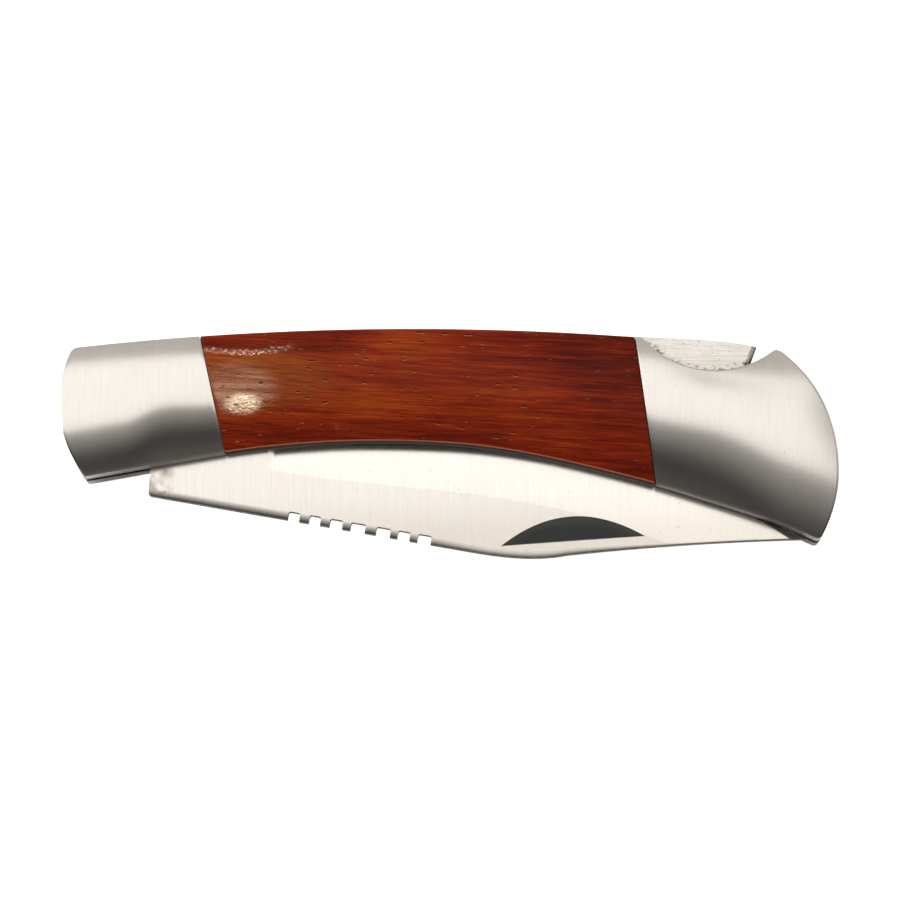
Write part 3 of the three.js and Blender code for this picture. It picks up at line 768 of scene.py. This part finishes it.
def makeRedWood(name, cover="paintedShade", paintedShare=0.0):
    w = redWood
    s = Surface(name)
    x, y, z = (s.axis(letter) for letter in "XYZ")
    poreHighlightDrop, poreHighlightShare, poreHighlightColour = w["poreHighlights"]
    grainY = y + x * w["slant"]
    grain, below = (s.add("ShaderNodeCombineXYZ", {"X": x, "Y": along, "Z": z})
                    for along in (grainY, grainY + poreHighlightDrop))
    (bands, sway, streaks, fibres), tone = toned(s, w["tones"], grain)
    leftLight, topDark, lowDark, rightDark, lowRightLight = w["changes"]
    rightEnd, low = x.over(*w["rightEnd"]), 1 - y.over(*w["lowEdge"])
    tone = tone - w["toneShift"] + (1 - x.over(*w["leftEnd"])) * leftLight
    tone = tone - y.over(*w["topEdge"]) * (1 - x.over(*w["topEnd"])) * topDark
    tone = tone - low * (1 - rightEnd) * lowDark - rightEnd * rightDark
    tone = tone + low * rightEnd * lowRightLight
    colour = s.ramp(tone, [(at, rgb(shade)) for at, shade in w["ramp"]])
    colour = overlaid(s, colour, w["lines"], place=grain)
    # open pores: short dark dashes with a painted highlight on the lower rim where the lacquer
    # turns in
    cells, onset, poreShare, poreColour = w["pores"]
    fewerPores, fewerPoreHighlights = w["rightLess"]
    pores = s.noise(*cells, place=grain).between(*onset) * (1 - rightEnd * fewerPores)
    poreHighlights = s.noise(*cells, place=below).between(*onset) * (1 - pores)
    poreHighlights = poreHighlights * (1 - rightEnd * fewerPoreHighlights)
    onset, share, dark, light = w["browns"]
    brown = s.mix(fibres.between(*onset), rgb(dark), rgb(light))
    colour = s.mix(nearPoint(s, *w["brownPatch"]) * share, colour, brown)
    colour = s.mix(pores * poreShare, colour, rgb(poreColour))
    colour = s.mix(poreHighlights * poreHighlightShare, colour, rgb(poreHighlightColour))
    # for the wall and rim copies: painted shade on the wall, a painted highlight on the rim
    colour = s.mix(paintedShare, colour, rgb(w[cover]))
    ripple = s.noise(*w["ripple"], place=grain)
    dents = s.bump(ripple * w["rippleShare"] - pores, w["poreDepth"])
    plain, fromFibres, fromPores = w["roughness"]
    roughness = fibres * fromFibres + plain + pores * fromPores
    base = s.shader(colour, roughness, {"Normal": dents, **w["gloss"]})
    # a film of lacquer that throws light beside the front joint and along the upper edge
    filmShare, filmColour, lacquer, dip = w["film"]
    waves = s.bump(ripple - pores, w["poreDepth"], s.bump(x, dip))
    film = s.shader(rgb(filmColour), lacquer, {"Metallic": 1.0, "Normal": waves})
    light = lightPatch(s, w["halo"], streaks) + lightPatch(s, w["core"], ripple)
    share = (light + sparkLine(s, x, y)) * (1 - pores * w["poreShade"]) * filmShare
    return s.finish(s.add("ShaderNodeMixShader", {0: share, 1: base, 2: film}))


satin = makeSatinSteel()
bladeFinish = makeBladeSteel()
barFinish = makeBarSteel()
shadedRimFinish, linerFinish, pinFinish, springFinish = (makePlainSteel(name) for name in plainSteels)
woodFinish = makeRedWood("redWood")
# copies of the wood with painted shade for the wall and a painted highlight for the rim
paintedShadeWood = makeRedWood("redWoodPaintedShade", "paintedShade", 0.9)
paintedHighlightWood = makeRedWood("redWoodPaintedHighlight", "lit", 0.5)
print("materials made")


# Bolsters and scales: a grid between four edge curves, raised to the crown

cover = {
    "edge": 0.2,  # rounding of the rim in mm
    "edgeAbove": 0.5,  # only edges this far above the liner are rounded
    "sharp": 45,
    "cornerSteps": 8,
    # how far the wood's faces look up and down, for its wall by the blade and its rim
    "wallUp": 0.4,
    "wallDown": -0.5,
    "rimDown": -0.45,
}


def patchRows(bottom, top, left, right):
    # points inside four edges: bottom and top run along, left and right run across
    across, along = len(left) - 1, len(bottom) - 1

    def at(i, j, k):
        u, v = i / along, j / across
        ruled = (1 - v) * bottom[i][k] + v * top[i][k] + (1 - u) * left[j][k] + u * right[j][k]
        corners = ((1 - u) * (1 - v) * bottom[0][k] + u * (1 - v) * bottom[-1][k]
                   + (1 - u) * v * top[0][k] + u * v * top[-1][k])
        return ruled - corners

    plan = [[(at(i, j, 0), at(i, j, 1)) for i in range(along + 1)] for j in range(across + 1)]
    return [[(x, y, crownZ(x, y)) for x, y in row] for row in plan]


def toward(start, end, length):
    share = length / math.dist(start, end)
    return (start[0] + (end[0] - start[0]) * share, start[1] + (end[1] - start[1]) * share)


def roundCorner(piece, corner, armA, armB):
    # takes one upright corner off a cover, with points further along its two edges given
    a, b = (toward(corner, arm, profile["cornerReach"]) for arm in (armA, armB))
    curve, steps = quadratic(a, corner, b), cover["cornerSteps"]
    outside = toward(corner, ((a[0] + b[0]) / 2, (a[1] + b[1]) / 2), -past)
    outline = [curve(k / steps) for k in range(steps + 1)] + [outside]
    cut(piece, plate("cornerCutter", outline, linerTop - past, ridgeTop + past))


def coverPiece(name, bottom, top, left, right, along, across):
    rows = patchRows(spread(bottom, along), spread(top, along),
                     spread(left, across), spread(right, across))
    piece = surfaceBlock(name, rows, linerTop)
    if name == "front_pivotBolster":
        roundCorner(piece, frontTop, top[0](0.05), left[0](0.95))
    if name == "front_buttBolster":
        roundCorner(piece, buttBottom, bottom[0](0.95), right[0](0.05))
    rim = linerTop + cover["edgeAbove"]
    soften(piece, lambda middle, a, b: middle.z > rim and sharp(a, b, cover["sharp"]),
           cover["edge"])
    return smoothed(piece)


def coverEdges(kind):
    frontLeft, frontRight, buttLeft, buttRight = (
        [jointEnd(joint, side, edge) for edge in (bellyY, upperY)]
        for joint in ("frontJoint", "buttJoint") for side in (-1, 1))
    if kind == "pivotBolster":
        return ([straight(frontBottom, flatEnd), bellyCurve(flatEnd, frontLeft[0])],
                [backArc.arc(frontTop, frontLeft[1], -1)],
                [frontArc.arc(frontBottom, frontTop, -1)],
                [straight(*frontLeft)])
    if kind == "scale":
        return ([bellyCurve(frontRight[0], buttLeft[0])],
                [backArc.arc(frontRight[1], buttLeft[1], -1)],
                [straight(*frontRight)],
                [straight(*buttLeft)])
    hornTop = (horn.x, horn.y + horn.r)
    return ([bellyCurve(buttRight[0], buttBottom)],
            [backArc.arc(buttRight[1], thumbStart, -1), thumbArc.arc(thumbStart, hornIn, 1),
             horn.arc(hornIn, hornTop, -1)],
            [straight(*buttRight)],
            [buttArc.arc(buttBottom, hornOut, 1), horn.arc(hornOut, hornTop, 1)])


def paintWallShadeAndRimHighlight(piece):
    # painted shade and highlight: the wood's upright edge beside the blade is painted nearly black
    # as shade, and the rim above it painted light as a highlight
    piece.data.materials.append(paintedShadeWood)
    piece.data.materials.append(paintedHighlightWood)
    for face in piece.data.polygons:
        if abs(face.normal.z) < cover["wallUp"] and face.normal.y < cover["wallDown"]:
            face.material_index = 1
        elif face.normal.y < cover["rimDown"]:
            face.material_index = 2


# segments along and across, slot, material and node
covers = {"pivotBolster": (46, 42, "satin_steel", satin, "pivot_bolster"),
          "scale": (124, 42, "red_wood", woodFinish, "scale"),
          "buttBolster": (62, 46, "satin_steel", satin, "butt_bolster")}

for kind, (along, across, slotName, material, node) in covers.items():
    front = coverPiece("front_" + kind, *coverEdges(kind), along, across)
    back = mirrored(front, "back_" + kind)
    placed(front, "handle", slotName, material, "front_" + node)
    placed(back, "handle", slotName, material, "back_" + node)
    if kind == "scale":
        paintWallShadeAndRimHighlight(front)
        paintWallShadeAndRimHighlight(back)
print("bolsters and scales made")


# The liners, the lock bar and the inner pieces: the CAD solids with softened edges

copied = {
    "sharp": 45,
    "segments": 2,
    "shading": 30,
    "level": 0.7,  # least z of a level face's normal
    "edges": {"liner": 0.06, "bar": 0.2, "inner": 0.05},  # mm
    "bellyWithin": 0.12,  # mm from the belly's arc, for corners that sag with it
}


def flatTop(a, b):
    return (abs(a.z) > copied["level"]) != (abs(b.z) > copied["level"])


def softenRims(piece, degrees, width):
    soften(piece, lambda middle, a, b: flatTop(a, b) and sharp(a, b, degrees), width,
           copied["segments"])


def finishedCopy(node, name, edge, body, slot, material):
    piece = copyOf(node, name)
    softenRims(piece, copied["sharp"], copied["edges"][edge])
    smoothed(piece, copied["shading"])
    return placed(piece, body, slot, material, node)


# The blade: a plate with its grind, spine margin, notches, nick and pivot hole cut into it

bladeShape = {
    # outline in mm, blade shut, from the shoulder to the tip and back along the edge
    "shoulder": (2.2, -9.95),
    "shoulderReach": 0.5,
    "spineEnd": (44.0, -17.22),
    "hump": (51.4, -18.55),
    "clipStart": (56.0, -17.62),
    "clipDip": (72.4, -15.85),
    "tip": (87.3, -15.6),
    "edge": [(72.0, -4.5), (45.0, 2.2)],
    "heel": (18.8, 3.0),
    "ricassoTop": (13.5, 4.3),
    "rimStart": (3.02, 4.83),
    "rim": 5.7,
    "rimFlat": [(-0.519, 5.676), (-0.519, 4.35), (-3.683, 4.35)],
    "hookNotch": [(-0.475, -5.680), (-0.245, -4.374), (2.652, -4.885)],
    "pivotHole": 2.25,
    "edgeAngle": 55,  # edges sharper than this are rounded
    "edgeWidth": 0.05,
    "shading": 8,
    "level": 0.9999995,  # a face whose normal's z is above this is flat
    "rimLevel": 0.35,  # and one below this is a ground edge, painted darker as shade
}

grind = {
    "line": [(17.1, -6.85), (33.0, -10.2), (50.0, -8.8), (68.5, -16.5)],
    "depth": 1.0,
    "plunge": 0.9,  # mm along the blade in which the grind reaches its depth
    "soft": 0.2,  # share of the width over which it eases in from the flat
    "shallow": (0.55, 0.24),  # it starts shallower than a wedge, at heel and tip
    "steepFrom": (0.45, 0.77),  # and steepens from this share of its width on
    "turning": (0.2, 0.35),  # between heel and tip the two change from here on, over
    "tipSteep": (0.9, 0.6, 0.35),  # and at the very tip from here; changes from, over
    "plungeStations": 18,
    "plungePitch": 0.0012,
    "stations": 120,
    "steps": 24,
    "gather": 1.5,  # power that gathers the steps at the grind line
    "lead": -0.03,  # the cutter starts this share before the line
    "pastTip": 1.2,
    "clear": 0.004,  # above the flat
}

spine = {
    "width": 1.3,  # rounded margin of each face along the spine
    "fall": 0.065,  # it falls softly over its width
    "edgeFall": 0.02,  # and faster at the very edge
    "flattening": (0.75, 30.0, 16.0),  # the soft fall loses this share from x on, over a run
    "tipWidth": 0.45,
    "narrowing": (52.0, 20.0),
    "stations": 170,
    "steps": 16,
    "outside": 0.2,  # how far the cutter runs out past the spine
    "before": (-1.5, 0.25),  # and past its two ends, in x and y
    "behind": (1.0, 0.02),
    "clear": 0.0008,
}

notches = {
    # x and width in mm
    "places": [(20.9, 1.5), (23.6, 1.5), (26.35, 1.65), (29.15, 1.9), (32.4, 1.85), (35.05, 1.6),
               (37.7, 1.75)],
    "depth": 1.08,
    "corner": 0.3,
    "cornerSteps": 4,
    "below": -1.5,
}

nick = {
    "middle": (56.9, -15.87),
    "angle": 4.0,
    "length": 18.6,
    "width": 3.2,
    "depth": 0.56,
    "sides": 1200,
}


humpCurve = quadratic(bladeShape["spineEnd"], bladeShape["hump"], bladeShape["clipStart"])
clipCurve = quadratic(bladeShape["clipStart"], bladeShape["clipDip"], bladeShape["tip"])


def bladeOutline():
    b = bladeShape
    rim = Circle(0, 0, b["rim"])
    flatStart, flatRear, flatEnd = b["rimFlat"]
    notchTop, notchRear, notchFront = b["hookNotch"]
    before = toward(b["shoulder"], notchFront, b["shoulderReach"])
    after = toward(b["shoulder"], b["spineEnd"], b["shoulderReach"])
    return (sampled(quadratic(before, b["shoulder"], after), 8) + [after]
            + sampled(humpCurve, 24) + sampled(clipCurve, 40)
            + sampled(cubic(b["tip"], *b["edge"], b["heel"]), 90) + [b["heel"], b["ricassoTop"]]
            + sampled(rim.arc(b["rimStart"], flatStart, 1), 16) + [flatStart, flatRear]
            + sampled(rim.arc(flatEnd, notchTop, 1), 36) + [notchTop, notchRear, notchFront])


def grindDepth(share, t):
    # at a share of the grind's width and a place t from heel to tip
    changed = smooth((t - grind["turning"][0]) / grind["turning"][1])
    shallow, steepFrom = (grind[key][0] + (grind[key][1] - grind[key][0]) * changed
                          for key in ("shallow", "steepFrom"))
    tipSteep, tipFrom, tipRun = grind["tipSteep"]
    steepFrom += (tipSteep - steepFrom) * smooth((t - tipFrom) / tipRun)
    share = max(0.0, min(1.0, share))
    eased = (1 + grind["soft"]) * share ** 2 / (share + grind["soft"])
    steep = max(0.0, (share - steepFrom) / (1 - steepFrom)) ** 2
    return grind["depth"] * (shallow * eased + (1 - shallow) * steep)


def grindCutter(side):
    # the waste that one face's grind takes off, from the grind line to past the edge
    line = cubic(*grind["line"])
    edge = cubic(bladeShape["heel"], *reversed(bladeShape["edge"]), bladeShape["tip"])
    pitch = grind["plungePitch"]
    first = pitch * grind["plungeStations"]
    places = [pitch * i for i in range(grind["plungeStations"])]
    places += [first + (1 - first) * i / grind["stations"] for i in range(grind["stations"] + 1)]
    rows = []
    for k in range(-1, grind["steps"] + 2):
        share = grind["lead"] if k < 0 else (k / grind["steps"]) ** grind["gather"]
        row = []
        for t in places:
            start, end = line(t), edge(t)
            depth = grindDepth(share, t)
            depth *= smooth((start[0] - grind["line"][0][0]) / grind["plunge"])
            x = start[0] + (end[0] - start[0]) * share
            y = start[1] + (end[1] - start[1]) * share
            row.append((x, y, middleZ + side * (bladeHalf - depth + grind["clear"])))
        last = row[-1]
        rows.append(row + [(last[0], last[1] - grind["pastTip"], last[2])])
    return surfaceBlock("grindCutter", rows, middleZ + side * (bladeHalf + past))


def spineCutter(side):
    # the waste off one face's margin along the spine
    b = bladeShape
    curves = [straight(b["shoulder"], b["spineEnd"]), humpCurve, clipCurve]
    line = spread(curves, spine["stations"])
    line.insert(0, tuple(at + more for at, more in zip(line[0], spine["before"])))
    line.append(tuple(at + more for at, more in zip(line[-1], spine["behind"])))
    narrowFrom, narrowRun = spine["narrowing"]
    loss, lossFrom, lossRun = spine["flattening"]
    rows = []
    for k in range(spine["steps"] + 1):
        share = k / spine["steps"]
        row = []
        for i, point in enumerate(line):
            before, after = line[max(0, i - 1)], line[min(len(line) - 1, i + 1)]
            length = math.dist(before, after)
            inward = ((before[1] - after[1]) / length, (after[0] - before[0]) / length)
            narrow = smooth((point[0] - narrowFrom) / narrowRun)
            width = spine["width"] + (spine["tipWidth"] - spine["width"]) * narrow
            away = width - share * (width + spine["outside"])
            near = 1 - away / width
            soft = spine["fall"] * (1 - loss * smooth((point[0] - lossFrom) / lossRun))
            fall = (soft * near ** 3 + spine["edgeFall"] * near ** 9) * width / spine["width"]
            ground = (point[0] - grind["line"][-1][0]) / (b["tip"][0] - grind["line"][-1][0])
            fall += grindDepth(ground, 1.0)
            row.append((point[0] + inward[0] * away, point[1] + inward[1] * away,
                        middleZ + side * (bladeHalf - fall + spine["clear"])))
        rows.append(row)
    return surfaceBlock("spineCutter", rows, middleZ + side * (bladeHalf + past))


def turned(centre, point, angle):
    c, s = math.cos(angle), math.sin(angle)
    return (centre[0] + point[0] * c - point[1] * s, centre[1] + point[0] * s + point[1] * c)


def notchCutter(x, width):
    b = bladeShape
    lean = math.atan2(b["spineEnd"][1] - b["shoulder"][1], b["spineEnd"][0] - b["shoulder"][0])
    y = b["shoulder"][1] + (x - b["shoulder"][0]) * math.tan(lean)
    half, deep, r = width / 2, notches["depth"], notches["corner"]
    below, steps = notches["below"], notches["cornerSteps"]
    left = quadratic((-half, deep - r), (-half, deep), (r - half, deep))
    right = quadratic((half - r, deep), (half, deep), (half, deep - r))
    points = [corner(k / steps) for corner in (left, right) for k in range(steps + 1)]
    points = [(-half, below)] + points + [(half, below)]
    outline = [turned((x, y), point, lean) for point in points]
    return plate("notchCutter", outline, bladeLow - past, bladeHigh + past)


def nickCutter():
    # a long cone on its side: the wide end is the nick's straight wall, the flank its floor
    halfLength = nick["length"] / 2
    wide = (halfLength ** 2 + nick["depth"] ** 2) / (2 * nick["depth"])
    deselectAll()
    bpy.ops.mesh.primitive_cone_add(vertices=nick["sides"], radius1=wide * mm,
                                    radius2=(wide - nick["depth"]) * mm, depth=nick["width"] * mm,
                                    rotation=(-math.pi / 2, 0, 0))
    cone = fresh("nickCutter")
    bpy.ops.object.transform_apply()
    centre = [value * mm for value in nick["middle"]]
    for vertex in cone.data.vertices:
        point = (vertex.co.x, vertex.co.y + nick["width"] / 2 * mm)
        vertex.co.x, vertex.co.y = turned(centre, point, math.radians(nick["angle"]))
        vertex.co.z += (bladeHigh + wide - nick["depth"]) * mm
    return cone


def splitAtFlats(piece):
    # keeps the shading of the flat faces apart from the curved ones beside them
    mesh = piece.data
    flats = besideEdges(mesh, lambda face: abs(face.normal.z) > bladeShape["level"])
    for edge in mesh.edges:
        if len(set(flats.get(edge.key, []))) == 2:
            edge.use_edge_sharp = True


def makeBlade():
    b = bladeShape
    piece = plate("bladePiece", bladeOutline(), bladeLow, bladeHigh)
    for side in (1, -1):
        cut(piece, grindCutter(side), crossed=True)
        cut(piece, spineCutter(side))
    for x, width in notches["places"]:
        cut(piece, notchCutter(x, width))
    cut(piece, nickCutter())
    cut(piece, rod("pivotCutter", 0, 0, b["pivotHole"], bladeLow - past, bladeHigh + past))
    softenRims(piece, b["edgeAngle"], b["edgeWidth"])
    only(piece)
    bpy.ops.object.shade_smooth_by_angle(angle=math.radians(b["shading"]))
    splitAtFlats(piece)
    placed(piece, "blade", "blade_steel", bladeFinish, "blade")
    # the narrow side faces get the rim steel, painted darker as shade
    piece.data.materials.append(shadedRimFinish)
    for face in piece.data.polygons:
        if abs(face.normal.z) < b["rimLevel"]:
            face.material_index = 1


for side in ("front", "back"):
    liner = finishedCopy(side + "_liner", side + "LinerPlate", "liner", "handle", "liner_steel",
                         linerFinish)
    for vertex in liner.data.vertices:
        x, y = vertex.co.x / mm, vertex.co.y / mm
        nearBelly = abs(y - lowerY(x)) < copied["bellyWithin"]
        if profile["bellySag"][1] < x < buttBottom[0] and nearBelly:
            vertex.co.y -= sag(x) * mm
makeBlade()
finishedCopy("lock_bar", "lockBarPiece", "bar", "lock_bar", "bar_steel", barFinish)
finishedCopy("butt_spacer", "buttSpacerPiece", "inner", "handle", "liner_steel", linerFinish)
spring = finishedCopy("lock_spring", "leafSpringPiece", "inner", None, "spring_steel", springFinish)
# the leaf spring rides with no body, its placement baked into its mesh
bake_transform(spring)

for node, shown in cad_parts.items():
    if node.endswith("_pin") or "pin_" in node or "rivet" in node:
        shown.data.materials.clear()
        shown.data.materials.append(pinFinish)
print("blade, bar and inner pieces made")


# Floor, light and camera

studio = {
    "floor": "f4f3f1",
    "floorSize": 8.0,
    "floorGlow": 0.9,
    "aim": (41, -4, 6.4),  # mm
    "box": (2.5, 31.0, 0.9),  # overhead softbox: from, to in degrees from straight up, m away
    # panels of the softbox: from and to in m along the knife, brightness
    "panels": {"mainPanel": (-0.85, 0.225, 0.84), "sidePanel": (0.40, 0.85, 1.1)},
    # side of the knife, brightness
    "sides": {"leftLamp": (-1, 7.0), "rightLamp": (1, 3.0)},
    "side": (0.32, 62.0, 0.15),  # their size in m, tilt in degrees and shift in m
    # degrees to the right, degrees up, size in m, strength
    "glints": {"sheenLamp": (-27.0, 10.0, 0.16, 0.36, 4.0),
               "coreLamp": (-27.0, 2.0, 0.08, 0.12, 9.0),
               "topLamp": (-27.0, 32.0, 0.12, 0.06, 16.0)},
    "glintAim": (14, 1, 12.8),
    "glintAway": 0.8,
    # brightness of the walls by degrees from straight up towards the back
    "walls": [(-90, 0.75), (-60, 0.5), (-45, 0.16), (-30, 0.115), (-22, 0.078), (-18, 0.05),
              (-14, 0.032), (-9, 0.095), (-5.5, 0.19), (0, 0.29), (2.5, 0.34), (31, 0.40),
              (33, 0.52), (45, 0.55), (90, 0.8)],
    "wallTint": (1, 0.975, 0.94),
}


def makeFloor():
    deselectAll()
    bpy.ops.mesh.primitive_plane_add(size=studio["floorSize"])
    floor = fresh("floor")
    s = Surface("paleFloor")
    base = s.shader(rgb(studio["floor"]), 0.9, {"Specular IOR Level": 0.0})
    glow = s.add("ShaderNodeEmission", {"Color": (1, 1, 1, 1), "Strength": studio["floorGlow"]})
    path = s.add("ShaderNodeLightPath", {}, "Is Camera Ray")
    both = s.add("ShaderNodeAddShader", {0: base, 1: glow})
    mixed = s.add("ShaderNodeMixShader", {0: path, 1: base, 2: both})
    floor.data.materials.append(s.finish(mixed))


def aimed(name, data, place, way):
    # an object for a lamp or the camera that looks along a way
    thing = bpy.data.objects.new(name, data)
    bpy.context.collection.objects.link(thing)
    thing.location = place
    thing.rotation_euler = way.to_track_quat("-Z", "Y").to_euler()
    return thing


def areaLamp(name, sizeX, sizeY, bright, place, target):
    lamp = bpy.data.lights.new(name, "AREA")
    lamp.shape = "RECTANGLE"
    lamp.size, lamp.size_y = sizeX, sizeY
    lamp.energy = bright * math.pi * sizeX * sizeY
    aimed(name, lamp, place, target - place)


def makeLights():
    centre = Vector(studio["aim"]) * mm
    low, high, away = studio["box"]
    middle, half = math.radians((low + high) / 2), math.radians((high - low) / 2)
    for name, (start, end, bright) in studio["panels"].items():
        aim = centre + Vector(((start + end) / 2, 0, 0))
        place = aim + Vector((0, math.sin(middle), math.cos(middle))) * away
        areaLamp(name, end - start, 2 * away * math.tan(half), bright, place, aim)
    size, tilt, shift = studio["side"]
    tilt = math.radians(tilt)
    for name, (side, bright) in studio["sides"].items():
        place = centre + Vector((side * math.sin(tilt), shift, math.cos(tilt)))
        areaLamp(name, size, size, bright, place, centre)


def makeGlints():
    # small lamps that the lacquer catches beside the front joint
    centre = Vector(studio["glintAim"]) * mm
    for name, (right, up, sizeX, sizeY, bright) in studio["glints"].items():
        slopes = (math.tan(math.radians(right)), math.tan(math.radians(up)), 1.0)
        place = centre + Vector(slopes) * studio["glintAway"]
        areaLamp(name, sizeX, sizeY, bright, place, centre)


def makeWorld():
    # a plain studio whose walls change in brightness from the knife's belly side to its back
    s = Surface("studio", bpy.data.worlds, "Generated")
    angle = s.add("ShaderNodeMath", {0: s.axis("Y"), 1: s.axis("Z")}, operation="ARCTAN2")
    share = s.add("ShaderNodeMapRange", {"Value": angle, "From Min": -math.pi / 2,
                                         "From Max": math.pi / 2})
    stops = [((degrees + 90) / 180, (*(level * tint for tint in studio["wallTint"]), 1))
             for degrees, level in studio["walls"]]
    back = s.add("ShaderNodeBackground", {"Color": s.ramp(share, stops)})
    s.add("ShaderNodeOutputWorld", {"Surface": back})
    bpy.context.scene.world = s.owner


view = {
    "aim": (41.08, -3.98, 6.4),  # mm, the picture's centre on the knife's middle plane
    "elevation": 84.5,
    "distance": 1.0,
    "pictureWidth": 116.1,  # mm across the picture at the knife
    "clip": (0.01, 20),  # m
}


def makeCamera():
    data = bpy.data.cameras.new("camera")
    up = math.radians(view["elevation"])
    back = Vector((0, -math.cos(up), math.sin(up)))
    data.lens = data.sensor_width * view["distance"] / (view["pictureWidth"] * mm)
    data.clip_start, data.clip_end = view["clip"]
    place = Vector(view["aim"]) * mm + back * view["distance"]
    bpy.context.scene.camera = aimed("camera", data, place, -back)


makeFloor()
makeLights()
makeGlints()
makeWorld()
makeCamera()
bpy.context.scene.view_settings.view_transform = "Standard"
print("studio made")
